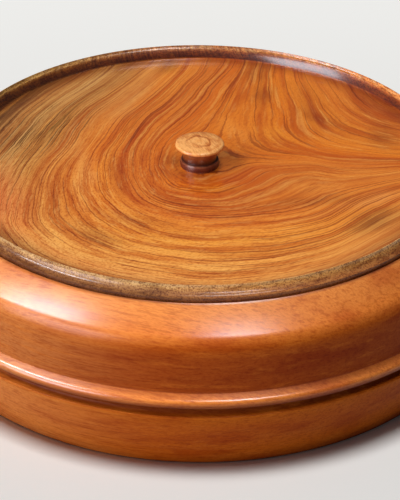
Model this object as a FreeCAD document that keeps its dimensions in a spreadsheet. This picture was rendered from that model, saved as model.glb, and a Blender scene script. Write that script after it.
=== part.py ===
import FreeCAD, Part
import math
import os
import Sketcher

# Tortilla warmer, turned from wood: a round bowl with a foot ring, a groove and a
# bead round its wall, and a sloping shoulder that ends in a rebated mouth. A flat
# lid with a raised rim drops into the rebate. A mushroom knob stands in its middle,
# held by one countersunk wood screw from below.
#
# Millimetres, +Z up. The origin is on the table, under the middle of the bowl.

doc = FreeCAD.newDocument("TortillaWarmer")
sheet = doc.addObject("Spreadsheet::Sheet", "Sizes")

sizes = {
    # bowl, overall
    "wallRadius": 144.6,      # outside of the upper wall, at its foot and at its top
    "lipHeight": 80.4,        # table to the lip of the mouth
    "wallThickness": 10.2,
    "floorThickness": 9.0,
    # foot ring and lower wall, which flares out to a crisp upper edge
    "footRecess": 2.5,        # depth of the hollow inside the foot ring
    "footWidth": 16.0,
    "footRound": 3.0,
    "recessRound": 1.0,
    "skirtHeight": 31.6,
    "skirtProud": 2.6,        # how far its upper edge stands out past the upper wall
    "skirtTaper": 9.2,        # how far its foot lies in from that edge
    "skirtBow": 110.0,
    # groove over the lower wall
    "grooveLip": 0.7,
    "grooveWidth": 4.6,
    "grooveRound": 2.4,
    # bead over the groove
    "beadProud": 2.4,
    "beadHeight": 5.2,
    "beadRound": 2.8,
    "beadSlope": 1.5,
    # upper wall, bend and shoulder
    "wallBow": 150.0,
    "bendRun": 4.3,
    "bendRise": 8.3,
    "bendRound": 11.7,
    "shoulderRun": 17.3,      # wall to lip, level
    "shoulderRise": 9.2,
    "shoulderBow": 145.0,
    "lipRound": 0.4,
    # rebate that the lid drops into, and the ledge it rests on
    "seatDepth": 8.2,
    "ledgeWidth": 8.7,
    "ledgeThickness": 8.0,
    "mouthRound": 2.0,
    # corners of the hollow
    "roofRound": 12.0,
    "floorRound": 20.0,
    # lid
    "lidFit": 0.5,            # clearance all round in the rebate
    "lidThickness": 8.0,
    "lidChamfer": 1.0,
    "rimHeight": 6.1,         # rim over the lid's floor
    "rimWidth": 5.9,
    "rimRound": 4.2,
    "rimInnerRound": 1.5,
    "rimLean": 1.5,           # how far the hollowed inside of the rim comes in at its foot
    "rimHollow": 7.3,
    # knob
    "knobFoot": 9.5,
    "knobFootHeight": 3.4,
    "knobFootTaper": 0.3,
    "knobFootBow": 4.0,
    "neckRadius": 8.4,
    "neckStep": 0.3,
    "neckCove": 8.0,
    "capRadius": 12.1,
    "capHeight": 11.2,        # knob's foot to the widest ring of its cap
    "capRound": 1.0,
    "domeRise": 0.6,
    # wood screw, and the holes it passes
    "screwHead": 3.4,
    "screwLand": 0.3,
    "screwShank": 1.75,
    "screwLength": 16.0,
    "screwTip": 3.0,
    "screwSink": 0.4,         # head below the lid's underside
    "shankClearance": 0.25,
    "headClearance": 0.05,
    "threadClearance": 0.05,
    "pilotSpare": 1.0,        # pilot hole past the screw's tip
    "driveReach": 1.9,        # cross recess, middle to the end of one arm
    "driveHalfWidth": 0.45,
    "driveDepth": 1.3,
}

FULL_TURN = 360
COUNTERSINK_ANGLE = 90
DRIVE_ARMS = 4
EDGE_TOLERANCE = 1e-4

for row, (alias, value) in enumerate(sizes.items(), start=1):
    sheet.set(f"A{row}", alias)
    sheet.set(f"B{row}", str(value))
    sheet.setAlias(f"B{row}", alias)
doc.recompute()


# A formula is a sum of named sizes, such as "wallRadius - shoulderRun". Its number
# places the geometry as it is drawn, and its expression binds it to the sheet.

def number(formula):
    """Value of a sum of named sizes, in millimetres. None is zero."""
    total = 0.0
    sign = 1
    for word in (formula or "").split():
        if word in "+-":
            sign = -1 if word == "-" else 1
        else:
            total += sign * sizes[word]
    return total


def expression(formula):
    """The same sum as an expression on the sheet's cells."""
    words = [word if word in "+-" else "Sizes." + word for word in formula.split()]
    return " ".join(words)


def new_body(label, height=None):
    """An empty body. height is the formula of the level that its own zero stands at."""
    body = doc.addObject("PartDesign::Body", label + "_body")
    body.Label = label
    body.Placement = FreeCAD.Placement(FreeCAD.Vector(0, 0, number(height)), FreeCAD.Rotation())
    if height:
        body.setExpression(".Placement.Base.z", expression(height))
    return body


def new_sketch(body, name, plane):
    """A sketch on one of the body's own origin planes."""
    origin_plane = [item for item in body.Origin.OriginFeatures if item.Role == plane][0]
    sketch = body.newObject("Sketcher::SketchObject", name)
    sketch.AttachmentSupport = [(origin_plane, "")]
    sketch.MapMode = "FlatFace"
    return sketch


def bind(sketch, constraint, name, formula):
    """Add a driving dimension and bind it to the sheet."""
    index = sketch.addConstraint(constraint)
    sketch.renameConstraint(index, name)
    sketch.setExpression("Constraints." + name, expression(formula))


def arc_middle(start, end, radius, turn):
    """Middle of the arc from start to end. turn is left or right, walking along it."""
    chord = end - start
    half = chord.Length / 2
    side = FreeCAD.Vector(-chord.y, chord.x, 0).normalize()
    if turn == "right":
        side = -side
    to_centre = math.sqrt(radius * radius - half * half)
    return (start + end) / 2 - side * (radius - to_centre)


def dome_radius(start, end):
    """Radius of the arc from start to end, on the Z axis, whose centre is on that axis."""
    rise = end.y - start.y
    return (start.x * start.x + rise * rise) / (2 * rise)


def draw_outline(sketch, outline):
    """Draw a closed outline and bind every point and radius of it.

    outline is a list of (x formula, y formula, turn, radius formula). turn and radius
    are None for the straight edge that leads to that point. An x or y of None lies on
    the sketch's own axis. An arc with no radius has its centre on the Z axis.
    """
    points = [FreeCAD.Vector(number(x), number(y), 0) for x, y, turn, radius in outline]
    starts = []
    ends = []
    for index, (x, y, turn, radius) in enumerate(outline):
        start = points[index - 1]
        end = points[index]
        if turn and radius:
            middle = arc_middle(start, end, number(radius), turn)
            edge = sketch.addGeometry(Part.Arc(start, middle, end))
            bind(sketch, Sketcher.Constraint("Radius", edge, number(radius)), f"radius{index}", radius)
        elif turn:
            middle = arc_middle(start, end, dome_radius(start, end), turn)
            edge = sketch.addGeometry(Part.Arc(start, middle, end))
            sketch.addConstraint(Sketcher.Constraint("PointOnObject", edge, 3, -2))
        else:
            edge = sketch.addGeometry(Part.LineSegment(start, end))
        forward = sketch.getPoint(edge, 1).distanceToPoint(start) < EDGE_TOLERANCE
        starts.append((edge, 1 if forward else 2))
        ends.append((edge, 2 if forward else 1))
    for index, (x, y, turn, radius) in enumerate(outline):
        edge, corner = ends[index]
        next_edge, next_corner = starts[(index + 1) % len(outline)]
        sketch.addConstraint(Sketcher.Constraint("Coincident", edge, corner, next_edge, next_corner))
        if x:
            across = Sketcher.Constraint("DistanceX", -1, 1, edge, corner, number(x))
            bind(sketch, across, f"across{index}", x)
        else:
            sketch.addConstraint(Sketcher.Constraint("PointOnObject", edge, corner, -2))
        if y:
            up = Sketcher.Constraint("DistanceY", -1, 1, edge, corner, number(y))
            bind(sketch, up, f"up{index}", y)
        else:
            sketch.addConstraint(Sketcher.Constraint("PointOnObject", edge, corner, -1))


def turned(body, name, outline):
    """Turn an outline, drawn as radius and height, about the body's own Z axis."""
    sketch = new_sketch(body, name + "_outline", "XZ_Plane")
    draw_outline(sketch, outline)
    blank = body.newObject("PartDesign::Revolution", name + "_turned")
    blank.Profile = sketch
    blank.ReferenceAxis = (sketch, ["V_Axis"])
    blank.Angle = FULL_TURN
    doc.recompute()
    return blank


def ring_edge(feature, radius, height):
    """Name of the circular edge of that radius at that height."""
    for index, edge in enumerate(feature.Shape.Edges, start=1):
        if not isinstance(edge.Curve, Part.Circle):
            continue
        radius_error = abs(edge.Curve.Radius - number(radius))
        height_error = abs(edge.Curve.Center.z - number(height))
        if max(radius_error, height_error) < EDGE_TOLERANCE:
            return f"Edge{index}"
    raise ValueError(f"{feature.Name} has no ring edge at {radius}, {height}")


def round_ring(body, name, base, rings, radius):
    """Round the ring edges of base, each given as (radius formula, height formula)."""
    fillet = body.newObject("PartDesign::Fillet", name)
    fillet.Base = (base, [ring_edge(base, ring, height) for ring, height in rings])
    fillet.setExpression("Radius", expression(radius))
    doc.recompute()
    return fillet


def drill(body, name, radius):
    """A hole up the body's Z axis from its underside, its sizes still to be bound."""
    sketch = new_sketch(body, name + "_centre", "XY_Plane")
    circle = Part.Circle(FreeCAD.Vector(0, 0, 0), FreeCAD.Vector(0, 0, 1), number(radius))
    edge = sketch.addGeometry(circle)
    sketch.addConstraint(Sketcher.Constraint("Coincident", edge, 3, -1, 1))
    bind(sketch, Sketcher.Constraint("Radius", edge, number(radius)), "drillRadius", radius)
    doc.recompute()
    hole = body.newObject("PartDesign::Hole", name)
    hole.Profile = sketch
    hole.Reversed = True
    hole.ThreadType = "None"
    hole.setExpression("Diameter", f"2 * ({expression(radius)})")
    return hole


def build_bowl():
    """Bowl: turned outside and hollowed through its mouth."""
    foot = "wallRadius + skirtProud - skirtTaper"
    groove_bottom = "wallRadius + grooveLip"
    groove_top = "skirtHeight + grooveWidth"
    bead_top = groove_top + " + beadHeight"
    shoulder_foot = "lipHeight - shoulderRise"
    lip = "wallRadius - shoulderRun"
    mouth = lip + " - ledgeWidth"
    ledge = "lipHeight - seatDepth"
    roof = ledge + " - ledgeThickness"
    hollow = "wallRadius - wallThickness"
    floor = "footRecess + floorThickness"
    body = new_body("bowl")
    blank = turned(body, "bowl", [
        (None, "footRecess", None, None),
        (foot + " - footWidth", "footRecess", None, None),
        (foot + " - footWidth", None, None, None),
        (foot, None, None, None),
        ("wallRadius + skirtProud", "skirtHeight", "left", "skirtBow"),
        (groove_bottom, "skirtHeight", None, None),
        (groove_bottom, groove_top, "right", "grooveRound"),
        ("wallRadius + beadProud", groove_top, None, None),
        ("wallRadius + beadProud", bead_top, "left", "beadRound"),
        ("wallRadius", bead_top + " + beadSlope", None, None),
        ("wallRadius", shoulder_foot + " - bendRise", "left", "wallBow"),
        ("wallRadius - bendRun", shoulder_foot, "left", "bendRound"),
        (lip, "lipHeight", "left", "shoulderBow"),
        (lip, ledge, None, None),
        (mouth, ledge, None, None),
        (mouth, roof, None, None),
        (hollow + " - roofRound", roof, None, None),
        (hollow, roof + " - roofRound", "right", "roofRound"),
        (hollow, floor + " + floorRound", None, None),
        (hollow + " - floorRound", floor, "right", "floorRound"),
        (None, floor, None, None),
    ])
    rounded = round_ring(body, "foot_edge", blank, [(foot, None)], "footRound")
    rounded = round_ring(body, "recess_edge", rounded, [(foot + " - footWidth", None)], "recessRound")
    rounded = round_ring(body, "lip_edge", rounded, [(lip, "lipHeight")], "lipRound")
    round_ring(body, "mouth_edges", rounded, [(mouth, ledge), (mouth, roof)], "mouthRound")
    return body


def build_lid():
    """Lid: one board, its floor turned down inside a raised rim."""
    edge = "wallRadius - shoulderRun - lidFit"
    rim_top = "lidThickness + rimHeight"
    rim_inside = edge + " - rimWidth"
    body = new_body("lid", "lipHeight - seatDepth")
    blank = turned(body, "lid", [
        (None, None, None, None),
        (edge + " - lidChamfer", None, None, None),
        (edge, "lidChamfer", None, None),
        (edge, rim_top + " - rimRound", None, None),
        (edge + " - rimRound", rim_top, "left", "rimRound"),
        (rim_inside + " + rimInnerRound", rim_top, None, None),
        (rim_inside, rim_top + " - rimInnerRound", "left", "rimInnerRound"),
        (rim_inside + " - rimLean", "lidThickness", "right", "rimHollow"),
        (None, "lidThickness", None, None),
    ])
    solid_volume = blank.Shape.Volume
    hole = drill(body, "screw_hole", "screwShank + shankClearance")
    hole.DepthType = "ThroughAll"
    hole.HoleCutType = "Countersink"
    hole.HoleCutCountersinkAngle = COUNTERSINK_ANGLE
    seat_radius = expression("screwHead + headClearance + screwSink + screwLand")
    hole.setExpression("HoleCutDiameter", f"2 * ({seat_radius})")
    doc.recompute()
    check_cut(hole, solid_volume)
    return body


def build_knob():
    """Knob: foot flange, coved neck and domed cap, with a blind hole for the screw."""
    cap_edge = "capRadius - capRound"
    body = new_body("knob", "lipHeight - seatDepth + lidThickness")
    blank = turned(body, "knob", [
        (None, None, None, None),
        ("knobFoot", None, None, None),
        ("knobFoot - knobFootTaper", "knobFootHeight", "left", "knobFootBow"),
        ("neckRadius", "knobFootHeight + neckStep", None, None),
        (cap_edge, "capHeight - capRound", "right", "neckCove"),
        ("capRadius", "capHeight", "left", "capRound"),
        (cap_edge, "capHeight + capRound", "left", "capRound"),
        (None, "capHeight + capRound + domeRise", "left", None),
    ])
    solid_volume = blank.Shape.Volume
    hole = drill(body, "pilot_hole", "screwShank + threadClearance")
    hole.DepthType = "Dimension"
    hole.setExpression("Depth", expression("screwSink + screwLength + pilotSpare - lidThickness"))
    doc.recompute()
    check_cut(hole, solid_volume)
    return body


def build_screw():
    """Countersunk wood screw, head down, with a cross recess. Its thread is left plain."""
    body = new_body("knob_screw", "lipHeight - seatDepth + screwSink")
    blank = turned(body, "screw", [
        (None, None, None, None),
        ("screwHead", None, None, None),
        ("screwHead", "screwLand", None, None),
        ("screwShank", "screwHead - screwShank + screwLand", None, None),
        ("screwShank", "screwLength - screwTip", None, None),
        (None, "screwLength", None, None),
    ])
    solid_volume = blank.Shape.Volume
    arm = new_sketch(body, "drive_arm", "XY_Plane")
    draw_outline(arm, [
        (None, "- driveHalfWidth", None, None),
        ("driveReach", "- driveHalfWidth", None, None),
        ("driveReach", "driveHalfWidth", None, None),
        (None, "driveHalfWidth", None, None),
    ])
    cut = body.newObject("PartDesign::Pocket", "drive_cut")
    cut.Profile = arm
    cut.Reversed = True
    cut.setExpression("Length", expression("driveDepth"))
    doc.recompute()
    check_cut(cut, solid_volume)
    arms = body.newObject("PartDesign::PolarPattern", "drive_arms")
    arms.Originals = [cut]
    arms.Axis = (arm, ["N_Axis"])
    arms.Angle = FULL_TURN
    arms.Occurrences = DRIVE_ARMS
    body.Tip = arms
    doc.recompute()
    check_cut(arms, cut.Shape.Volume)
    return body


def check_cut(feature, volume_before):
    """Stop if a cutting feature took nothing away."""
    if not feature.Shape.Volume < volume_before:
        raise ValueError(f"{feature.Name} cuts nothing")


pieces = [build_bowl(), build_lid(), build_knob(), build_screw()]
doc.recompute()

for item in doc.Objects:
    if "Invalid" in item.State or "Error" in item.State:
        raise ValueError(f"{item.Name} failed: {item.State}")
for piece in pieces:
    if piece.Shape.isNull() or not piece.Shape.isValid():
        raise ValueError(f"{piece.Label} has no valid shape")

os.makedirs("parts", exist_ok=True)
for piece in pieces:
    piece.Shape.exportStep(f"parts/{piece.Label}.step")
    box = piece.Shape.BoundBox
    print(f"{piece.Label}: {piece.Shape.Volume:.0f} mm3, {box.XLength:.1f} x {box.YLength:.1f}, "
          f"z {box.ZMin:.1f} to {box.ZMax:.1f}")
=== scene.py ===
import math

import bpy
import numpy as np
from mathutils import Matrix, Quaternion, Vector


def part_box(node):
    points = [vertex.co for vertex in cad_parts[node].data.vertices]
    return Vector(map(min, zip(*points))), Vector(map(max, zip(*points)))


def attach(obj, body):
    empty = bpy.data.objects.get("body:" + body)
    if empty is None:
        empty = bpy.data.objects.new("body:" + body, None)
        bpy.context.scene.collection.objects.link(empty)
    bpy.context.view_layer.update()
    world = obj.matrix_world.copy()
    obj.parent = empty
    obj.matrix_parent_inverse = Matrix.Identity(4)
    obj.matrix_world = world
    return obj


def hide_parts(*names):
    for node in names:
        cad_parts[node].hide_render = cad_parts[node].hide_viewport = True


# Tortilla warmer, turned from wood: bowl, lid, knob and the screw that holds the knob.

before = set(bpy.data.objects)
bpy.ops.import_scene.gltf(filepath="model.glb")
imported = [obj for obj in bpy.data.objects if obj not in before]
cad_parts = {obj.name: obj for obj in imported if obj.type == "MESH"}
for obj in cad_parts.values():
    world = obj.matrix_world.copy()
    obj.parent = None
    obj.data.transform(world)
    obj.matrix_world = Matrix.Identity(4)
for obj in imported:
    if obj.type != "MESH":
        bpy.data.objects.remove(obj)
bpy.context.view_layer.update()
scene = bpy.context.scene
bpy.ops.object.select_all(action="DESELECT")
print("frame loaded:", ", ".join(sorted(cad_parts)))


# small tools that every piece uses

mm = 0.001                         # metres
layerShift = (7.3, 3.1, 1.7)       # moves each layer's noise on, so that no two layers match


def linear(hexColour):
    # sRGB to the linear values that sockets take, with an alpha of 1
    channels = [int(hexColour[i:i + 2], 16) / 255 for i in (1, 3, 5)]
    return [c / 12.92 if c <= 0.04045 else ((c + 0.055) / 1.055) ** 2.4 for c in channels] + [1.0]


def tinted(hexColour, tint):
    # linear values, with the tint's share of the red, green and blue, and none over 1
    return [min(value * share, 1.0) for value, share in zip(linear(hexColour), (*tint, 1.0))]


def addNode(tree, kind, sockets=None, stops=(), **settings):
    # sockets gives an input a value, a "#" colour or another node; stops fill a colour ramp
    node = tree.nodes.new("ShaderNode" + kind)
    for name, value in settings.items():
        setattr(node, name, value)
    for name, value in (sockets or {}).items():
        named = [socket for socket in node.inputs if socket.name == name and socket.enabled]
        socket = node.inputs[name] if isinstance(name, int) else named[0]
        if isinstance(value, bpy.types.Node):
            value = next(output for output in value.outputs if output.enabled)
        if isinstance(value, bpy.types.NodeSocket):
            tree.links.new(value, socket)
        else:
            socket.default_value = linear(value) if isinstance(value, str) else value
    for index, (place, colour) in enumerate(stops):
        ramp = node.color_ramp.elements
        stop = ramp[index] if index < 2 else ramp.new(place)
        stop.position = place
        stop.color = linear(colour) if isinstance(colour, str) else colour
    return node


def newMaterial(name):
    material = bpy.data.materials.new(name)
    material.use_nodes = True
    material.node_tree.nodes.clear()
    return material, material.node_tree


def layOver(tree, colour, vector, layers, where=None):
    # each layer is a noise stretched to real sizes in mm, and tints the wood under it; the mask
    # of the last one, the finest, is given back for the bump
    for number, (sizes, detail, roughness, low, high, strength, tint, blend) in enumerate(layers):
        placed = addNode(tree, "Mapping", {
            "Vector": vector, "Scale": [1 / (size * mm) for size in sizes],
            "Location": [step * number for step in layerShift],
        })
        noise = addNode(tree, "TexNoise", {
            "Vector": placed, "Scale": 1.0, "Detail": detail, "Roughness": roughness,
        })
        mask = addNode(tree, "MapRange", {
            "Value": noise, "From Min": low, "From Max": high, "To Max": strength,
        }, interpolation_type="SMOOTHSTEP")
        if where:
            mask = addNode(tree, "Math", {0: mask, 1: where}, operation="MULTIPLY")
        colour = addNode(tree, "Mix", {
            "Factor": mask, "A": colour, "B": tint,
        }, data_type="RGBA", blend_type=blend)
    return colour, mask


def swayed(tree, vector, place, size, reach, detail):
    # noise of this size moves the vector up to half the reach to either side, both in mm
    placed = addNode(tree, "Mapping", {"Vector": place, "Scale": [1 / (size * mm)] * 3})
    noise = addNode(tree, "TexNoise", {"Vector": placed, "Scale": 1.0, "Detail": detail})
    centred = addNode(tree, "VectorMath", {
        0: noise.outputs["Color"], 1: (0.5, 0.5, 0.5),
    }, operation="SUBTRACT")
    return addNode(tree, "VectorMath", {
        0: centred, 1: (reach * mm,) * 3, 2: vector,
    }, operation="MULTIPLY_ADD")


def rampStops(low, high, stops):
    # places in mm or degrees become shares of the span; a plain number becomes a grey
    return [
        ((value - low) / (high - low), look if isinstance(look, str) else (look, look, look, 1.0))
        for value, look in stops
    ]


# camera

view = {
    "lens": 158.4,                     # mm
    "sensor": 36.0,                    # mm along the long side
    "place": (0.0, -0.9532, 0.6045),   # m
    "down": 31.04,                     # degrees
    "right": 0.03,                     # degrees
    "roll": 0.43,                      # degrees, right side up
}


def aimCamera():
    down, right, roll = [math.radians(view[key]) for key in ("down", "right", "roll")]
    level = Vector((math.sin(right), math.cos(right), 0))
    forward = level * math.cos(down) - Vector((0, 0, math.sin(down)))
    across = level.cross((0, 0, 1))
    upward = across.cross(forward)
    axisX = across * math.cos(roll) + upward * math.sin(roll)
    axisY = upward * math.cos(roll) - across * math.sin(roll)
    data = bpy.data.cameras.new("camera")
    data.lens = view["lens"]
    data.sensor_width = view["sensor"]
    camera = bpy.data.objects.new("camera", data)
    scene.collection.objects.link(camera)
    turned = Matrix((axisX, axisY, -forward)).transposed().to_4x4()
    camera.matrix_world = Matrix.Translation(view["place"]) @ turned
    scene.camera = camera


aimCamera()
print("camera aimed")


# studio: a pale floor; soft lamps high at the left, over the front and over the back; a window
# at the left; and one lamp far up that lights only the floor

studio = {
    "floorSize": 16.0,                 # m
    "floorColour": "#f3f1ed",
    "floorBounce": "#b4b2b0",          # what the floor gives back to the object
    "floorGlow": (-0.1, 0.4, 0.0, 0.23),   # backdrop light: near and far y in m, strength at each
    "floorFinish": {"Roughness": 0.5, "Specular IOR Level": 0.2},      # honed stone, hardly glossy
    "worldColour": "#f4f6ff",
    "worldStrength": 0.06,
}
lamps = {
    # name: place in m, size in m, turn in degrees, watts, colour, whether it lights the floor or
    # the object
    "keyLamp": ((-0.96, -0.24, 1.14), (0.66, 0.20), 42.0, 12.5, "#f6f8ff", False),
    "frontLamp": ((0.26, -0.67, 1.32), (0.38, 0.16), -10.0, 5.2, "#f6f8ff", False),
    "backLamp": ((0.14, 0.15, 1.27), (0.32, 0.26), 0.0, 3.0, "#ffffff", False),
    "windowLamp": ((-1.33, -1.00, 0.64), (1.10, 1.00), 0.0, 23.0, "#f4f6ff", False),
    "tableLamp": ((-0.25, -0.32, 4.00), (1.20, 1.20), 0.0, 125.0, "#fcfeff", True),
}


def makeFloor():
    bpy.ops.mesh.primitive_plane_add(size=studio["floorSize"])
    floor = bpy.context.object
    floor.name = "floor"
    material, tree = newMaterial("paleStone")
    path = addNode(tree, "LightPath")
    seen = path.outputs["Is Camera Ray"]
    for ray in ("Is Glossy Ray", "Is Transmission Ray"):
        seen = addNode(tree, "Math", {0: seen, 1: path.outputs[ray]}, operation="MAXIMUM")
    colour = addNode(tree, "Mix", {
        "Factor": seen, "A": studio["floorBounce"], "B": studio["floorColour"],
    }, data_type="RGBA")
    place = addNode(tree, "TexCoord").outputs["Object"]
    away = addNode(tree, "SeparateXYZ", {"Vector": place}).outputs["Y"]
    near, far, dim, full = studio["floorGlow"]
    glow = addNode(tree, "MapRange", {
        "Value": away, "From Min": near, "From Max": far, "To Min": dim, "To Max": full,
    })
    glow = addNode(tree, "Math", {0: glow, 1: seen}, operation="MULTIPLY")
    shader = addNode(tree, "BsdfPrincipled", {
        "Base Color": colour, "Emission Color": studio["floorColour"], "Emission Strength": glow,
        **studio["floorFinish"],
    })
    addNode(tree, "OutputMaterial", {"Surface": shader})
    floor.data.materials.append(material)
    return floor


def makeLamps(floor):
    # flags keep the object's lamps off the floor and the floor's lamp off the object, so the
    # shadow under the bowl stays dark
    groups = {}
    for lit, state in ((True, "INCLUDE"), (False, "EXCLUDE")):
        groups[lit] = bpy.data.collections.new("floor" + state)
        groups[lit].objects.link(floor)
        groups[lit].collection_objects[0].light_linking.link_state = state
    for name, (place, size, turn, watts, colour, onFloor) in lamps.items():
        data = bpy.data.lights.new(name, "AREA")
        data.shape = "RECTANGLE"
        data.size, data.size_y = size
        data.energy = watts
        data.color = linear(colour)[:3]
        lamp = bpy.data.objects.new(name, data)
        lamp.location = place
        lamp.rotation_mode = "QUATERNION"
        facing = Vector(place).to_track_quat("Z", "Y")
        lamp.rotation_quaternion = facing @ Quaternion((0, 0, 1), math.radians(turn))
        scene.collection.objects.link(lamp)
        lamp.light_linking.receiver_collection = groups[onFloor]


def makeWorld():
    world = bpy.data.worlds.new("studioAir")
    world.use_nodes = True
    background = world.node_tree.nodes["Background"]
    background.inputs["Color"].default_value = linear(studio["worldColour"])
    background.inputs["Strength"].default_value = studio["worldStrength"]
    scene.world = world
    scene.view_settings.view_transform = "Standard"


makeLamps(makeFloor())
makeWorld()
print("studio ready")


# Every wooden piece is turned, so each mesh is drawn ring by ring like the turning. An
# outline walks round half a section: radius and height in mm of each corner and, where an
# arc leads there, which way it turns and its radius.

turning = {
    "arcStep": 0.9,            # mm between rings on a tight arc
    "longStep": 1.6,           # mm between rings on a slow one
    "slowArc": 30.0,           # mm, arcs over this radius are slow
    "fewestRings": 3,          # on the shortest arc
    "edgeRing": 0.5,           # mm from a corner to the ring that keeps a flat face flat
    "longFace": 2.0,           # mm, flat faces longer than this get such rings
    "smoothAngle": 32.0,       # degrees
    "weld": 0.01,              # mm
}


def arcRings(start, end, turn, radius):
    side = 1 if turn == "left" else -1
    chord = Vector(end) - Vector(start)
    half = chord.length / 2
    inward = Vector((-chord.y, chord.x)).normalized() * side
    centre = (Vector(start) + Vector(end)) / 2 + inward * math.sqrt(radius ** 2 - half ** 2)
    first = math.atan2(start[1] - centre.y, start[0] - centre.x)
    sweep = 2 * math.asin(half / radius) * side
    step = turning["longStep"] if radius > turning["slowArc"] else turning["arcStep"]
    count = max(turning["fewestRings"], round(abs(sweep) * radius / step))
    turns = [first + sweep * (i + 1) / count for i in range(count)]
    return [(centre.x + radius * math.cos(t), centre.y + radius * math.sin(t)) for t in turns]


def flatRings(start, end):
    # two more rings near the ends of a long flat face
    edge = turning["edgeRing"]
    span = math.dist(start, end)
    shares = [edge / span, 1 - edge / span] if span > turning["longFace"] else []
    return [tuple(a + (b - a) * share for a, b in zip(start, end)) for share in shares + [1]]


def ringsOf(outline):
    rings = [outline[0][:2]]
    for corner in outline[1:]:
        end, arc = corner[:2], corner[2:]
        rings += arcRings(rings[-1], end, *arc) if arc else flatRings(rings[-1], end)
    return rings


def turnOnLathe(name, outline, facets, poles):
    # the first ring is a circle; each next one is extruded from it, then resized and moved.
    # With poles, both ends of the outline close on the axis; without, it closes on itself.
    rings = ringsOf(outline)
    radius, height = rings[0]
    bpy.ops.object.select_all(action="DESELECT")
    bpy.ops.mesh.primitive_circle_add(
        vertices=facets, radius=radius * mm, location=(0, 0, height * mm),
        fill_type="TRIFAN" if poles else "NOTHING",
    )
    piece = bpy.context.object
    piece.name = name
    piece.data.name = name
    bpy.ops.object.transform_apply(location=True)
    bpy.ops.object.mode_set(mode="EDIT")
    bpy.ops.mesh.select_all(action="SELECT")
    if poles:
        bpy.ops.mesh.region_to_loop()
    for nextRadius, nextHeight in rings[1:]:
        bpy.ops.mesh.extrude_edges_indiv()
        factor = nextRadius / radius
        bpy.ops.transform.resize(value=(factor, factor, 1), center_override=(0, 0, height * mm))
        bpy.ops.transform.translate(value=(0, 0, (nextHeight - height) * mm))
        radius, height = nextRadius, nextHeight
    if poles:
        bpy.ops.mesh.extrude_edges_indiv()
        bpy.ops.mesh.merge(type="CENTER")
    bpy.ops.mesh.select_all(action="SELECT")
    bpy.ops.mesh.remove_doubles(threshold=turning["weld"] * mm)
    bpy.ops.mesh.normals_make_consistent(inside=False)
    bpy.ops.object.mode_set(mode="OBJECT")
    bpy.ops.object.shade_smooth_by_angle(angle=math.radians(turning["smoothAngle"]))
    for spare in list(piece.data.uv_layers):
        piece.data.uv_layers.remove(spare)
    return piece


def fitPiece(piece, node, body, material):
    # the turned piece stands in for its CAD node, on the same body
    piece.data.materials.append(material)
    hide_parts(node)
    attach(piece, body)


# lid: one board, its floor turned down inside a raised rim

lidBoard = {
    "facets": 256,
    "radius": 126.8,           # mm
    "underside": 72.2,         # mm above the table
    "floor": 80.2,             # mm above the table
    "rimFoot": 118.8,          # mm, radius where the inside of the rim meets the floor
    "floorStep": 2.0,          # mm between rings, close enough to carry the figure
    "underStep": 4.0,          # mm between rings
    "hole": 2.0,               # mm, radius of the screw hole
    "sink": 4.15,              # mm, radius of its countersink at the underside
    "rim": [
        (120.9, 84.8, "right", 12.0), (122.4, 86.3, "left", 1.5), (122.6, 86.3),     # inside, crest
        (126.8, 82.1, "left", 4.2), (126.8, 73.2), (125.8, 72.2),                    # outside
    ],
}

# Figure of the board, as growth lines seen from above: the knob is at 0, 0 and y points
# away from the front. Each line's number is how far across the growth it lies, in mm.
growthLines = {
    94: [(-65, 102), (-90, 62), (-109, 12), (-118, -25)],
    80: [(-50, 109), (-75, 65), (-92, 19), (-104, -25), (-104, -62)],
    66: [(-35, 112), (-56, 75), (-78, 25), (-90, -25), (-90, -62), (-69, -92), (-25, -115), (12, -121),
         (50, -110), (88, -82)],
    54: [(-21, 116), (-44, 75), (-66, 19), (-78, -25), (-78, -59), (-60, -84), (-25, -101), (12, -109),
         (44, -100), (75, -79), (106, -48)],
    44: [(-16, 118), (-31, 84), (-56, 31), (-68, -12), (-66, -44), (-50, -71), (-19, -89), (19, -92),
         (50, -84), (78, -62), (106, -35)],
    34: [(-12, 118), (-25, 84), (-48, 38), (-58, 0), (-56, -31), (-38, -62), (-6, -79), (31, -78),
         (62, -65), (88, -40), (112, -21)],
    25: [(-6, 119), (-16, 88), (-38, 44), (-49, 12), (-49, -12), (-41, -41), (-15, -65), (25, -64),
         (56, -56), (81, -31), (106, -18)],
    13: [(1, 119), (-9, 88), (-25, 54), (-36, 16), (-37, -6), (-30, -35), (-10, -50), (25, -50),
         (52, -42), (75, -25), (100, -14)],
    4: [(12, 118), (0, 82), (-19, 40), (-28, 6), (-28, -12), (-15, -34), (12, -39), (38, -24),
        (62, -15), (100, -6)],
    0: [(18, 115), (8, 92), (-5, 52), (-23, 18), (-24, 0), (-18, -17), (-2, -30), (19, -25), (34, -8),
        (59, -2), (100, -2)],
    -6: [(21, 106), (12, 81), (2, 52), (-15, 25), (-19, 0), (-15, -19), (6, -25), (20, -16), (33, -3),
         (58, 1), (100, 0)],
    -10: [(2, 8)],
    -11: [(24, 106), (18, 80), (10, 52), (3, 30)],
    -17: [(28, 106), (25, 80), (21, 52), (22, 30), (30, 14), (62, 3), (100, 1)],
    -23: [(33, 106), (32, 80), (31, 55), (34, 31), (42, 15), (62, 6), (100, 3)],
    -33: [(45, 104), (46, 62), (52, 31), (69, 16), (106, 10)],
    -45: [(52, 106), (59, 69), (65, 41), (81, 28), (112, 21)],
    -57: [(62, 102), (70, 69), (79, 50), (95, 38), (115, 31)],
    -69: [(75, 95), (82, 69), (94, 52), (110, 42)],
}
figure = {
    "slack": 150.0,            # mm2, how freely the field may pass beside a drawn line
    "pole": (125.0, 137.0),    # mm, the lines bend round this point
    "lean": 0.6,               # growth lines shift this far for each unit of depth
    "nearest": 1e-9,           # mm2, keeps the logarithm finite at a drawn point itself
}


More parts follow.
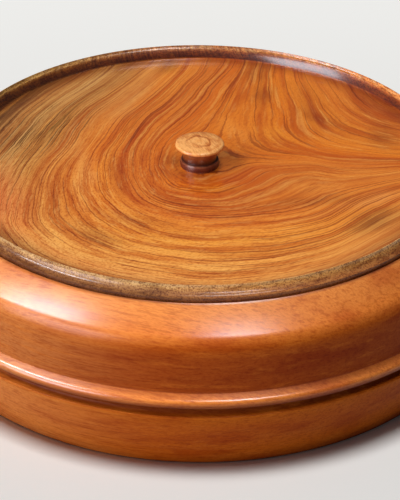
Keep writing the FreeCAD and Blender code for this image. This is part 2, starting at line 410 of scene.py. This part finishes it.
def lidOutline():
    # from the screw hole out over the floor and the rim, and back along the underside
    hole, foot, sink = lidBoard["hole"], lidBoard["rimFoot"], lidBoard["sink"]
    edge = lidBoard["rim"][-1][0]
    floorRings = np.linspace(hole, foot, round((foot - hole) / lidBoard["floorStep"]))
    underRings = np.linspace(edge, sink, round((edge - sink) / lidBoard["underStep"]))
    outline = [(radius, lidBoard["floor"]) for radius in floorRings.tolist()] + lidBoard["rim"]
    outline += [(radius, lidBoard["underside"]) for radius in underRings.tolist()[1:]]
    outline += [(hole, lidBoard["underside"] + sink - hole), (hole, lidBoard["floor"])]
    return outline


def growthField(points):
    # how far across the growth each point lies: a thin plate bent over the drawn lines
    places = np.array([place for line in growthLines.values() for place in line], float)
    values = np.array([value for value, line in growthLines.items() for place in line], float)
    count = len(places)

    def bending(a, b):
        # distance squared times its logarithm
        square = ((a[:, None] - b[None]) ** 2).sum(-1)
        return 0.5 * square * np.log(np.maximum(square, figure["nearest"]))

    flat = np.column_stack([np.ones(count), places])
    system = np.zeros((count + 3, count + 3))
    system[:count, :count] = bending(places, places) + np.eye(count) * figure["slack"]
    system[:count, count:] = flat
    system[count:, :count] = flat.T
    weights = np.linalg.solve(system, np.concatenate([values, np.zeros(3)]))
    plane = np.column_stack([np.ones(len(points)), points]) @ weights[count:]
    return bending(points, places) @ weights[:count] + plane


def layFigure(board):
    # the piece's UV map holds metres across the growth lines and metres along them
    mesh = board.data
    corners = np.zeros(len(mesh.vertices) * 3)
    mesh.vertices.foreach_get("co", corners)
    places = corners.reshape(-1, 3) / mm
    depth = places[:, 2].max() - places[:, 2]
    across = growthField(places[:, :2]) + figure["lean"] * depth
    poleX, poleY = figure["pole"]
    awayX, awayY = poleX - places[:, 0], poleY - places[:, 1]
    along = np.hypot(awayX, awayY) * (np.arctan2(awayY, awayX) - math.atan2(poleY, poleX))
    grain = np.column_stack([across, along]) * mm
    owners = np.zeros(len(mesh.loops), int)
    mesh.loops.foreach_get("vertex_index", owners)
    layer = mesh.uv_layers.new(name="grain")
    layer.data.foreach_set("uv", grain[owners].ravel())


# bowl: one block, turned outside and hollowed through its mouth

bowlBlock = {
    "facets": 256,
    "outline": [
        (4.0, 2.5), (122.0, 2.5), (122.0, 1.0), (123.0, 0.0, "left", 1.0),       # foot recess and ring
        (137.4, 0.0), (138.6, 1.2, "left", 1.2),
        (147.2, 31.3, "left", 110.0), (146.9, 31.6, "left", 0.3),                # lower wall, its edge
        (145.3, 31.6), (145.3, 36.2, "right", 2.4),                              # groove
        (147.0, 36.2), (147.0, 41.4, "left", 2.8), (144.6, 42.9),                # bead
        (144.6, 62.9, "left", 150.0), (140.3, 71.2, "left", 11.7),               # upper wall, bend
        (127.91, 80.02, "left", 145.0), (127.3, 79.68, "left", 0.4),             # shoulder, lip
        (127.3, 72.2), (120.6, 72.2), (118.6, 70.2, "left", 2.0),                # rebate and ledge
        (118.6, 66.2), (120.6, 64.2, "left", 2.0), (122.4, 64.2),                # under the ledge
        (134.4, 52.2, "right", 12.0), (134.4, 31.5),                             # hollow
        (114.4, 11.5, "right", 20.0), (4.0, 11.5),                               # its floor
    ],
}

# knob: foot flange, coved neck and domed cap, with a blind hole for the screw

knobTurning = {
    "facets": 96,
    "outline": [
        (1.8, 89.6), (1.8, 80.2), (9.5, 80.2), (9.2, 83.6, "left", 4.0), (8.4, 83.9),
        (11.1, 90.4, "right", 8.0), (12.1, 91.4, "left", 1.0), (11.1, 92.4, "left", 1.0),
        (0.6, 93.0, "left", 103.0),
    ],
}


# Lid wood: parota, a coarse tropical hardwood, flat sawn, turned, sanded and brushed with
# clear lacquer. It gives dark growth lines that swirl, short open pores along them, an
# olive sapwood edge, and a satin gloss that lies over everything. Its pores are 0.2 to
# 0.3 mm wide, too fine to show, so the layers for them are drawn 0.55 to 1.3 mm wide.

lidWood = {
    "ringSpan": (-90.0, 110.0),      # mm across the growth that the bands cover
    # bends of the lines: mm across, mm they reach, detail
    "wavers": [(22.0, 2.6, 1.0), (4.0, 0.6, 1.0), (1.6, 0.3, 1.0)],
    "bands": [                       # mm across the growth, colour of its light wood there
        (-88, "#a8480c"), (-74, "#d4701c"), (-56, "#ee8a2c"), (-42, "#ec8826"), (-34, "#f69028"),
        (-26, "#f48c20"), (-16, "#f08824"), (-6, "#ea8222"), (0, "#ee8626"), (8, "#e6822a"),
        (16, "#ea8830"), (26, "#f49434"), (34, "#fb9c38"), (41, "#f89c3c"), (48, "#e48a36"),
        (56, "#ee9a46"), (64, "#e09848"), (72, "#d4964c"), (80, "#e8aa60"), (88, "#dca058"),
        (96, "#b87c40"), (104, "#8c5a2c"),
    ],
    "bandsTint": (0.95, 0.88, 0.76),  # how much of the bands' red, green and blue is kept
    "litFrontSpan": (-30.0, -95.0),     # mm of y where the painted light on the front starts and is full
    "litFrontBands": [
        (8, "#ee8c30"), (16, "#f49036"), (24, "#fc9a3c"), (32, "#ffa440"), (40, "#ffaa4c"),
        (48, "#fca850"), (56, "#ffb05c"), (64, "#fab064"), (80, "#dc9c58"),
    ],
    "litFrontTint": (1.05, 1.04, 0.88),
    "layers": [
        # mm across, along and through; detail; roughness; where it starts and is full; strength;
        # tint; blend
        ((11.0, 160.0, 9.0), 2.0, 0.5, 0.45, 0.68, 0.6, "#ecccac", "MULTIPLY"),
        ((5.5, 70.0, 9.0), 2.0, 0.6, 0.48, 0.64, 0.7, "#d4a468", "MULTIPLY"),
        ((3.0, 46.0, 9.0), 2.0, 0.6, 0.56, 0.68, 0.4, "#ffb050", "MIX"),
        ((0.9, 70.0, 9.0), 0.0, 0.5, 0.64, 0.72, 0.55, "#98602c", "MULTIPLY"),
    ],
    "fineLayers": [                  # pores and flecks, drawn coarser than they are
        ((1.3, 34.0, 9.0), 2.0, 0.6, 0.54, 0.66, 0.55, "#c08850", "MULTIPLY"),
        ((0.8, 12.0, 9.0), 2.0, 0.7, 0.50, 0.70, 0.55, "#d09c58", "MULTIPLY"),
        ((0.8, 8.0, 9.0), 1.0, 0.6, 0.54, 0.72, 0.25, "#ffc068", "MIX"),
        ((0.8, 1.4, 9.0), 1.0, 0.6, 0.46, 0.70, 0.5, "#d0a058", "MULTIPLY"),
        ((0.55, 2.6, 9.0), 1.0, 0.5, 0.60, 0.70, 0.35, "#b07c48", "MULTIPLY"),
    ],
    # mm from front left to back right, and the strength of the pores at each end
    "calm": (-60.0, 60.0, 1.0, 0.45),
    "slant": (0.7, 0.7, 0.0),        # points to the back right
    "touchWaver": (14.0, 9.0, 2.0),  # bends of their edges: mm across, mm they reach, detail
    "touchDepth": 30.0,              # mm, half the height of their ovals
    "touches": [
        # middle x, y and half length, half width in mm; turn in degrees; colour; strength; blend
        (-50, 82, 60, 30, 65, "#b08c58", 0.25, "MIX"),
        (-84, 34, 52, 16, 66, "#b0acac", 0.60, "MULTIPLY"),
        (-94, -40, 56, 20, 96, "#f07c40", 0.60, "MIX"),
        (-57, -12, 46, 9, 95, "#f8b464", 0.50, "MIX"),
        (-36, 66, 50, 8, 67, "#e8aa60", 0.45, "MIX"),
        (-41, -10, 34, 7, 98, "#d4bcac", 0.70, "MULTIPLY"),
        (-22, -57, 24, 7, -28, "#d0bcb0", 0.60, "MULTIPLY"),
        (-37, -55, 30, 8, -36, "#c8b0b0", 0.50, "MULTIPLY"),
        (3, -69, 36, 7, 0, "#ccb4b4", 0.50, "MULTIPLY"),
        (-16, 112, 18, 12, 70, "#a8b098", 0.60, "MULTIPLY"),
        (30, 104, 22, 12, 90, "#a88878", 0.60, "MULTIPLY"),
        (33, 76, 20, 10, 80, "#b4a09c", 0.60, "MULTIPLY"),
        (41, 31, 26, 12, -45, "#ffa030", 0.70, "MIX"),
        (17, 36, 28, 10, -60, "#fa9a38", 0.50, "MIX"),
        (60, -4, 60, 18, 0, "#fa9e3c", 0.50, "MIX"),
        (52, -22, 32, 9, 0, "#fca444", 0.40, "MIX"),
        (84, -54, 26, 13, 40, "#948c84", 0.70, "MULTIPLY"),
        (94, 32, 14, 22, 0, "#b8a4a0", 0.60, "MULTIPLY"),
        (62, 50, 22, 8, -50, "#c8b0a4", 0.60, "MULTIPLY"),
        (-84, -62, 22, 9, -50, "#fc9c48", 0.50, "MIX"),
        (10, -97, 40, 8, 2, "#ffb458", 0.50, "MIX"),
        (84, -34, 30, 10, 30, "#f4a860", 0.35, "MIX"),
        # these two are darker wood with painted shade, left of the knob's foot and in front of it
        (-16, 2, 20, 10, 90, "#8c6450", 0.50, "MULTIPLY"),
        (0, -12, 24, 10, 0, "#905c44", 0.60, "MULTIPLY"),
        (8, -24, 22, 7, 5, "#faa834", 0.60, "MIX"),
        (-46, -70, 26, 9, -42, "#b4acac", 0.50, "MULTIPLY"),
        (58, -35, 30, 8, 12, "#b0a09c", 0.40, "MULTIPLY"),
        (55, 62, 42, 12, 100, "#b89c94", 0.30, "MULTIPLY"),
    ],
    # the sapwood at the back left has dried out and split along the grain
    "crackedPatch": (-80, 40, 70, 34, 60),
    "crackedStrength": 1.5,          # over 1, which makes the cracks bolder in the middle
    "cracks": [                      # drawn coarser than they are
        ((0.8, 30.0, 9.0), 1.0, 0.6, 0.58, 0.64, 0.7, "#685c48", "MULTIPLY"),
        ((2.0, 24.0, 9.0), 1.0, 0.6, 0.58, 0.68, 0.5, "#9c9478", "MULTIPLY"),
        ((1.4, 30.0, 9.0), 1.0, 0.6, 0.58, 0.68, 0.3, "#e8b068", "MIX"),
    ],
    # The rim cuts across the board, so it shows cut pore ends and cloudy sapwood.
    "rimBands": [                    # degrees round from the front, + to the right; colour
        (-180, "#c88448"), (-168, "#c88450"), (-150, "#c48c48"), (-130, "#d0a050"), (-90, "#b88c50"),
        (-60, "#b08850"), (-46, "#c8985c"), (-28, "#d0a064"), (-10, "#d8a868"), (4, "#f4b874"),
        (12, "#ffc070"), (30, "#ffbe6c"), (50, "#ffbe70"), (64, "#f8b870"), (90, "#d49858"),
        (128, "#f49848"), (146, "#e08c48"), (165, "#d08440"), (180, "#c88448"),
    ],
    "rimFrom": (0.0, 0.8),           # mm above the lid's floor where the rim's look starts and is full
    "rimOutside": (3.0, 2.0),        # mm in from the edge, the same for the side below the floor
    "rimShadeByHeight": [                    # mm above the table; painted shade by height, darkest low down where the rim meets the floor and the bowl's lip, none at its crest
        (80.2, "#8c6448"), (81.0, "#987054"), (81.8, "#a4846c"), (83.2, "#bca490"), (84.6, "#f4eade"),
        (85.4, "#ffffff"), (86.4, "#ffffff"),
    ],
    "rimInsideShade": (85.2, 84.0, "#d0a868"),    # mm above the table where the painted shade inside the rim starts and is full; tint
    "rimInner": (121.6, 121.0),              # radius in mm where it starts and is full
    "rimwardDarkening": (108.0, 117.0, "#c4b098"),  # radius in mm where it starts and is full; tint
    "rimCoat": (121.4, 123.0, 1.0, 0.35),    # radius in mm and lacquer inside and outside the crest
    "rimBehind": (-60.0, 20.0, 0.3, 1.0),    # mm of y, and the strength of the streaks and of the painted shade inside the rim at each end
    "rimStreaks": [                  # the growth lines of the board, cut through by the rim
        ((3.4, 26.0, 9.0), 2.0, 0.6, 0.46, 0.64, 0.5, "#a88450", "MULTIPLY"),
        ((1.1, 9.0, 9.0), 2.0, 0.6, 0.50, 0.70, 0.4, "#7c4c20", "MULTIPLY"),
        ((1.0, 10.0, 9.0), 1.0, 0.6, 0.56, 0.68, 0.2, "#ffd490", "MIX"),
    ],
    "rimLayers": [                   # clouds, then cut pore ends, drawn coarser than they are
        ((12.0, 3.0, 3.0), 3.0, 0.7, 0.48, 0.60, 0.6, "#b09060", "MULTIPLY"),
        ((5.0, 2.4, 2.4), 2.0, 0.6, 0.50, 0.70, 0.4, "#ffd490", "MIX"),
        ((1.6, 1.2, 1.2), 2.0, 0.6, 0.50, 0.62, 0.35, "#b89064", "MULTIPLY"),
        ((0.8, 0.7, 0.7), 1.0, 0.6, 0.52, 0.60, 0.65, "#94541c", "MULTIPLY"),
    ],
    "poreRelief": (0.3, 0.1),        # strength of the bump, and its depth in mm
    "finish": {                      # brushed lacquer, satin
        "Roughness": 0.5, "IOR": 1.5, "Specular IOR Level": 0.2,
        "Coat Roughness": 0.18, "Coat IOR": 1.7,
    },
}


def softPatch(tree, vector, shape, strength):
    # an oval that fades out: middle x and y, half length and half width in mm, turn in degrees
    x, y, length, width, turn = shape
    placed = addNode(tree, "Mapping", {
        "Vector": vector, "Location": (x * mm, y * mm, lidBoard["floor"] * mm),
        "Rotation": (0, 0, math.radians(turn)),
        "Scale": (length * mm, width * mm, lidWood["touchDepth"] * mm),
    }, vector_type="TEXTURE")
    oval = addNode(tree, "TexGradient", {"Vector": placed}, gradient_type="SPHERICAL").outputs["Fac"]
    return addNode(tree, "MapRange", {
        "Value": oval, "To Max": strength,
    }, interpolation_type="SMOOTHSTEP")


def boardFace(tree, place, grain):
    # the board's look: colour bands, lighter at the front with painted light, patches, two of them with
    # painted shade at the knob's foot, growth lines, then pores and dried-out cracks
    across = addNode(tree, "SeparateXYZ", {"Vector": grain}).outputs["X"]
    low, high = lidWood["ringSpan"]
    ring = addNode(tree, "MapRange", {
        "Value": across, "From Min": low * mm, "From Max": high * mm,
    })
    middle, front = [
        addNode(tree, "ValToRGB", {"Fac": ring}, stops=[
            (share, tinted(look, lidWood[tint])) for share, look in rampStops(low, high, lidWood[bands])
        ])
        for bands, tint in (("bands", "bandsTint"), ("litFrontBands", "litFrontTint"))
    ]
    # painted light: the front of the board, where more light falls, takes lighter bands
    start, full = lidWood["litFrontSpan"]
    forward = addNode(tree, "MapRange", {
        "Value": addNode(tree, "SeparateXYZ", {"Vector": place}).outputs["Y"],
        "From Min": start * mm, "From Max": full * mm,
    }, interpolation_type="SMOOTHSTEP")
    colour = addNode(tree, "Mix", {"Factor": forward, "A": middle, "B": front}, data_type="RGBA")
    # patches where the wood's own colour differs, and two with painted shade at the knob's foot
    strayed = swayed(tree, place, place, *lidWood["touchWaver"])
    for *shape, tint, strength, blend in lidWood["touches"]:
        patch = softPatch(tree, strayed, shape, strength)
        colour = addNode(tree, "Mix", {
            "Factor": patch, "A": colour, "B": tint,
        }, data_type="RGBA", blend_type=blend)
    colour = layOver(tree, colour, grain, lidWood["layers"])[0]
    near, far, strong, weak = lidWood["calm"]
    slant = addNode(tree, "VectorMath", {0: place, 1: lidWood["slant"]}, operation="DOT_PRODUCT")
    clear = addNode(tree, "MapRange", {
        "Value": slant.outputs["Value"],
        "From Min": near * mm, "From Max": far * mm, "To Min": strong, "To Max": weak,
    })
    colour, pores = layOver(tree, colour, grain, lidWood["fineLayers"], clear)
    dry = softPatch(tree, strayed, lidWood["crackedPatch"], lidWood["crackedStrength"])
    return layOver(tree, colour, grain, lidWood["cracks"], dry)[0], pores


def rimFace(tree, grain, axes, radius):
    # the rim, unrolled: how far round it, up it and out from the middle
    height = axes.outputs["Z"]
    backwards = addNode(tree, "Math", {0: axes.outputs["Y"], 1: -1.0}, operation="MULTIPLY")
    turn = addNode(tree, "Math", {0: axes.outputs["X"], 1: backwards}, operation="ARCTAN2")
    lap = addNode(tree, "Math", {0: turn, 1: lidBoard["radius"] * mm}, operation="MULTIPLY")
    unrolled = addNode(tree, "CombineXYZ", {"X": lap, "Y": height, "Z": radius})
    share = addNode(tree, "MapRange", {"Value": turn, "From Min": -math.pi, "From Max": math.pi})
    stops = rampStops(-180, 180, lidWood["rimBands"])
    colour = addNode(tree, "ValToRGB", {"Fac": share}, stops=stops)
    colour, dots = layOver(tree, colour, unrolled, lidWood["rimLayers"])
    near, far, weak, strong = lidWood["rimBehind"]
    behind = addNode(tree, "MapRange", {
        "Value": axes.outputs["Y"],
        "From Min": near * mm, "From Max": far * mm, "To Min": weak, "To Max": strong,
    })
    colour = layOver(tree, colour, grain, lidWood["rimStreaks"], behind)[0]
    # painted shade: the lower the rim lies, the darker it is drawn
    low, high = lidWood["rimShadeByHeight"][0][0], lidWood["rimShadeByHeight"][-1][0]
    level = addNode(tree, "MapRange", {"Value": height, "From Min": low * mm, "From Max": high * mm})
    heightShade = addNode(tree, "ValToRGB", {"Fac": level}, stops=rampStops(low, high, lidWood["rimShadeByHeight"]))
    colour = addNode(tree, "Mix", {
        "Factor": 1.0, "A": colour, "B": heightShade,
    }, data_type="RGBA", blend_type="MULTIPLY")
    # painted shade: its inner side is darkened, most of all behind, where less light reaches it
    start, full, tint = lidWood["rimInsideShade"]
    inside = addNode(tree, "MapRange", {
        "Value": height, "From Min": start * mm, "From Max": full * mm,
    })
    start, full = lidWood["rimInner"]
    inner = addNode(tree, "MapRange", {
        "Value": radius, "From Min": start * mm, "From Max": full * mm,
    })
    for part in (inner, behind):
        inside = addNode(tree, "Math", {0: inside, 1: part}, operation="MULTIPLY")
    colour = addNode(tree, "Mix", {
        "Factor": inside, "A": colour, "B": tint,
    }, data_type="RGBA", blend_type="MULTIPLY")
    return colour, dots


def lacqueredParota():
    material, tree = newMaterial("lacqueredParota")
    place = addNode(tree, "TexCoord").outputs["Object"]
    axes = addNode(tree, "SeparateXYZ", {"Vector": place})
    flat = addNode(tree, "VectorMath", {0: place, 1: (1.0, 1.0, 0.0)}, operation="MULTIPLY")
    radius = addNode(tree, "VectorMath", {0: flat}, operation="LENGTH").outputs["Value"]
    # the lines waver a little on their way
    grain = addNode(tree, "UVMap", uv_map="grain")
    for waver in lidWood["wavers"]:
        grain = swayed(tree, grain, place, *waver)
    colour, pores = boardFace(tree, place, grain)
    # the floor's colour darkens towards the foot of the rim
    start, full, tint = lidWood["rimwardDarkening"]
    towardsRim = addNode(tree, "MapRange", {
        "Value": radius, "From Min": start * mm, "From Max": full * mm,
    })
    colour = addNode(tree, "Mix", {
        "Factor": towardsRim, "A": colour, "B": tint,
    }, data_type="RGBA", blend_type="MULTIPLY")
    # the rim's look covers all that stands above the floor, and the board's edge
    rim, dots = rimFace(tree, grain, axes, radius)
    floor, edge = lidBoard["floor"], lidBoard["radius"]
    start, full = lidWood["rimFrom"]
    raised = addNode(tree, "MapRange", {
        "Value": axes.outputs["Z"],
        "From Min": (floor + start) * mm, "From Max": (floor + full) * mm,
    })
    start, full = lidWood["rimOutside"]
    outside = addNode(tree, "MapRange", {
        "Value": radius, "From Min": (edge - start) * mm, "From Max": (edge - full) * mm,
    })
    onRim = addNode(tree, "Math", {0: raised, 1: outside}, operation="MAXIMUM")
    colour = addNode(tree, "Mix", {"Factor": onRim, "A": colour, "B": rim}, data_type="RGBA")
    pores = addNode(tree, "Mix", {"Factor": onRim, "A": pores, "B": dots}, data_type="FLOAT")
    strength, depth = lidWood["poreRelief"]
    bump = addNode(tree, "Bump", {
        "Height": pores, "Strength": strength, "Distance": depth * mm,
    }, invert=True)
    start, full, thick, thin = lidWood["rimCoat"]
    coat = addNode(tree, "MapRange", {
        "Value": radius, "From Min": start * mm, "From Max": full * mm, "To Min": thick, "To Max": thin,
    })
    shader = addNode(tree, "BsdfPrincipled", {
        "Base Color": colour, "Normal": bump, "Coat Weight": coat, **lidWood["finish"],
    })
    addNode(tree, "OutputMaterial", {"Surface": shader})
    return material


# Bowl wood: tropical cedar, stained red brown and lacquered. Its colour up the wall is the stain
# with painted shade and painted light laid in, and one side is painted lighter towards a window.
# The turning cuts through straight fibres that run level, so two sides show long grain and two
# show end grain. The lacquer was laid on thick at the shoulder and the bead and nearly rubbed
# through elsewhere. Single fibres are too fine to show, so the finest layers are drawn 0.7 to
# 0.8 mm wide.

bowlWood = {
    "fibreTurn": 20.0,      # degrees between +X and the fibres, seen from below
    "stainShadeAndLight": [              # mm up the wall, colour there: stain, with painted shade at the foot, on the walls, in the groove, under the bead and at the lip, and painted light on the bead's top and the shoulder
        (0.0, "#883a0c"), (2.0, "#bc5a14"), (8.0, "#d06814"), (25.0, "#c45e14"), (31.0, "#c86614"),
        (32.0, "#883c10"), (36.0, "#883c10"), (37.2, "#98440c"), (38.8, "#b45c18"), (40.8, "#fc943c"),
        (43.4, "#a44812"), (60.0, "#a84a12"), (66.0, "#bc5c16"), (71.0, "#e88230"), (79.4, "#ee9040"),
        (80.1, "#985020"),
    ],
    "lacquer": [            # mm up the wall, how thick the lacquer was left there, 1 is a full coat
        (0.0, 0.04), (36.0, 0.04), (38.6, 0.3), (40.0, 1.0), (42.0, 1.0), (44.0, 0.04), (66.0, 0.05),
        (74.0, 1.0), (80.1, 1.0),
    ],
    # Painted light and sheen on the side that faces a window: x in mm where that starts and is full,
    # strength, colour. Then mm up the wall and how much of it each height takes, 0 in the groove.
    "windowLitSide": (-10.0, -100.0, 0.38, "#e09c58"),
    "windowLitReach": [(0.0, 1.0), (30.0, 1.0), (32.0, 0.0), (36.0, 0.0), (37.5, 1.0), (80.1, 1.0)],
    "layers": [             # streaks, then fibres; laid out as the lid's are
        ((60.0, 24.0, 10.0), 3.0, 0.5, 0.45, 0.70, 0.7, "#d8ac90", "MULTIPLY"),
        ((45.0, 9.0, 3.0), 2.0, 0.5, 0.50, 0.70, 0.3, "#d87828", "MIX"),
        ((22.0, 1.8, 1.0), 3.0, 0.6, 0.46, 0.70, 0.5, "#c89c7c", "MULTIPLY"),
        ((7.0, 0.8, 0.8), 2.0, 0.7, 0.44, 0.72, 0.4, "#dcb070", "MULTIPLY"),
        ((2.4, 0.7, 0.7), 1.0, 0.7, 0.42, 0.70, 0.3, "#dcb070", "MULTIPLY"),
    ],
    "fibreRelief": (0.2, 0.1),      # strength of the bump, and its depth in mm
    "finish": {             # wood rubbed smooth, with satin lacquer where it lies
        "Roughness": 0.5, "IOR": 1.5, "Specular IOR Level": 0.05,
        "Coat Roughness": 0.25, "Coat IOR": 1.7,
    },
}


def stainedCedar():
    material, tree = newMaterial("stainedCedar")
    place = addNode(tree, "TexCoord").outputs["Object"]
    axes = addNode(tree, "SeparateXYZ", {"Vector": place})
    top = bowlWood["stainShadeAndLight"][-1][0]
    level = addNode(tree, "MapRange", {"Value": axes.outputs["Z"], "From Max": top * mm})
    # colour by height: the stain with painted shade and painted light laid in
    stainShadeAndLight, lacquer, windowLitShare = [
        addNode(tree, "ValToRGB", {"Fac": level}, stops=rampStops(0.0, top, bowlWood[key]))
        for key in ("stainShadeAndLight", "lacquer", "windowLitReach")
    ]
    # painted light: the side towards the window is lightened, but not in the groove
    start, full, strength, tint = bowlWood["windowLitSide"]
    paintedWindowLight = addNode(tree, "MapRange", {
        "Value": axes.outputs["X"],
        "From Min": start * mm, "From Max": full * mm, "To Max": strength,
    }, interpolation_type="SMOOTHSTEP")
    paintedWindowLight = addNode(tree, "Math", {0: paintedWindowLight, 1: windowLitShare}, operation="MULTIPLY")
    stainShadeAndLight = addNode(tree, "Mix", {"Factor": paintedWindowLight, "A": stainShadeAndLight, "B": tint}, data_type="RGBA")
    turned = addNode(tree, "Mapping", {
        "Vector": place, "Rotation": (0, 0, math.radians(bowlWood["fibreTurn"])),
    })
    colour, fibres = layOver(tree, stainShadeAndLight, turned, bowlWood["layers"])
    strength, depth = bowlWood["fibreRelief"]
    bump = addNode(tree, "Bump", {
        "Height": fibres, "Strength": strength, "Distance": depth * mm,
    }, invert=True)
    shader = addNode(tree, "BsdfPrincipled", {
        "Base Color": colour, "Normal": bump, "Coat Weight": lacquer, **bowlWood["finish"],
    })
    addNode(tree, "OutputMaterial", {"Surface": shader})
    return material


# Knob wood: a paler, finer piece of parota, turned, stained and lacquered. Stain gathers in its
# neck and is rubbed off the cap; its colour also holds painted shade in the neck and under the cap
# and painted light on the cap's top, where rounded growth lines show and wear away at the front.

knobWood = {
    "stainShadeAndLight": [              # mm above its foot, colour there: stain with painted shade below the cap and painted light on its top
        (0.0, "#843c1c"), (0.9, "#5c1c0c"), (2.4, "#6c2810"), (3.2, "#8c4c2c"), (3.7, "#3c1006"),
        (4.6, "#501c0a"), (7.0, "#984e20"), (9.8, "#b87434"), (10.6, "#e89c50"), (12.8, "#fab468"),
    ],
    "hook": (-0.8, 0.2),    # mm from the middle of the cap to the middle of its growth lines
    "growth": [             # mm out from there, what the growth does to the colour
        (0.0, "#f8e4cc"), (3.4, "#ffffff"), (5.2, "#f8e8d8"), (6.2, "#b47c50"), (7.0, "#f8e8d8"),
        (9.0, "#ffffff"), (10.4, "#ecd4bc"), (11.4, "#ffffff"), (16.0, "#f0d8c0"),
    ],
    "slant": (0.7, 0.7, 0.0),        # points to the back right
    "worn": (-4.5, 0.0, 0.25, 1.0),  # mm from front left to back right, what is left of the lines
    "waver": (6.0, 5.0, 2.0),        # bends of the lines: mm across, mm they reach, detail
    "lean": (0.3, 0.2),     # radians, how far the fibres lie out of level
    "turn": 65.0,           # degrees, which way they run
    "layers": [             # clouds, then fibres drawn coarser than they are
        ((9.0, 2.4, 5.0), 2.0, 0.6, 0.40, 0.68, 0.6, "#d0a074", "MULTIPLY"),
        ((3.0, 0.7, 1.0), 2.0, 0.6, 0.46, 0.70, 0.5, "#c89c74", "MULTIPLY"),
    ],
    "finish": {             # satin lacquer, a little worn
        "Roughness": 0.5, "Specular IOR Level": 0.2, "Coat Weight": 0.8, "Coat Roughness": 0.25,
    },
}


def paleParota():
    material, tree = newMaterial("paleParota")
    place = addNode(tree, "TexCoord").outputs["Object"]
    height = addNode(tree, "SeparateXYZ", {"Vector": place}).outputs["Z"]
    low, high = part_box("knob")
    level = addNode(tree, "MapRange", {"Value": height, "From Min": low.z, "From Max": high.z})
    # colour by height: stain with painted shade in the neck and under the cap, painted light on top
    top = knobWood["stainShadeAndLight"][-1][0]
    stainShadeAndLight = addNode(tree, "ValToRGB", {"Fac": level}, stops=rampStops(0.0, top, knobWood["stainShadeAndLight"]))
    # growth lines bend round a point near the middle of the cap
    bent = swayed(tree, place, place, *knobWood["waver"])
    flat = addNode(tree, "VectorMath", {0: bent, 1: (1.0, 1.0, 0.0)}, operation="MULTIPLY")
    x, y = knobWood["hook"]
    out = addNode(tree, "VectorMath", {0: flat, 1: (x * mm, y * mm, 0.0)}, operation="DISTANCE")
    widest = knobWood["growth"][-1][0]
    ring = addNode(tree, "MapRange", {"Value": out.outputs["Value"], "From Max": widest * mm})
    stops = rampStops(0.0, widest, knobWood["growth"])
    growth = addNode(tree, "ValToRGB", {"Fac": ring}, stops=stops)
    slant = addNode(tree, "VectorMath", {0: place, 1: knobWood["slant"]}, operation="DOT_PRODUCT")
    near, far, weak, strong = knobWood["worn"]
    worn = addNode(tree, "MapRange", {
        "Value": slant.outputs["Value"],
        "From Min": near * mm, "From Max": far * mm, "To Min": weak, "To Max": strong,
    })
    stainShadeAndLight = addNode(tree, "Mix", {
        "Factor": worn, "A": stainShadeAndLight, "B": growth,
    }, data_type="RGBA", blend_type="MULTIPLY")
    turned = addNode(tree, "Mapping", {
        "Vector": place, "Rotation": (*knobWood["lean"], math.radians(knobWood["turn"])),
    })
    colour = layOver(tree, stainShadeAndLight, turned, knobWood["layers"])[0]
    shader = addNode(tree, "BsdfPrincipled", {"Base Color": colour, **knobWood["finish"]})
    addNode(tree, "OutputMaterial", {"Surface": shader})
    return material


# Screw: steel, zinc plated and passivated yellow. It gives a pale gold metal, clouded where the
# passivation took unevenly, with a soft sheen.

zincPlate = {
    "colour": "#d8bc6c",
    "clouds": [((1.5, 1.5, 1.5), 2.0, 0.6, 0.3, 0.7, 1.0, "#b89a58", "MIX")],
    "finish": {"Roughness": 0.35, "Metallic": 1.0},
}


def yellowZincPlate():
    material, tree = newMaterial("yellowZincPlate")
    place = addNode(tree, "TexCoord").outputs["Object"]
    colour = layOver(tree, zincPlate["colour"], place, zincPlate["clouds"])[0]
    shader = addNode(tree, "BsdfPrincipled", {"Base Color": colour, **zincPlate["finish"]})
    addNode(tree, "OutputMaterial", {"Surface": shader})
    return material


lid = turnOnLathe("lid_board", lidOutline(), lidBoard["facets"], poles=False)
layFigure(lid)
fitPiece(lid, "lid", "lid", lacqueredParota())
print("lid turned and figured:", len(lid.data.polygons), "faces")
bowl = turnOnLathe("bowl_block", bowlBlock["outline"], bowlBlock["facets"], poles=True)
fitPiece(bowl, "bowl", "bowl", stainedCedar())
print("bowl turned:", len(bowl.data.polygons), "faces")
knob = turnOnLathe("knob_turning", knobTurning["outline"], knobTurning["facets"], poles=True)
fitPiece(knob, "knob", "lid", paleParota())
print("knob turned:", len(knob.data.polygons), "faces")
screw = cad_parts["knob_screw"]
screw.data.materials.clear()
screw.data.materials.append(yellowZincPlate())
print("screw plated")
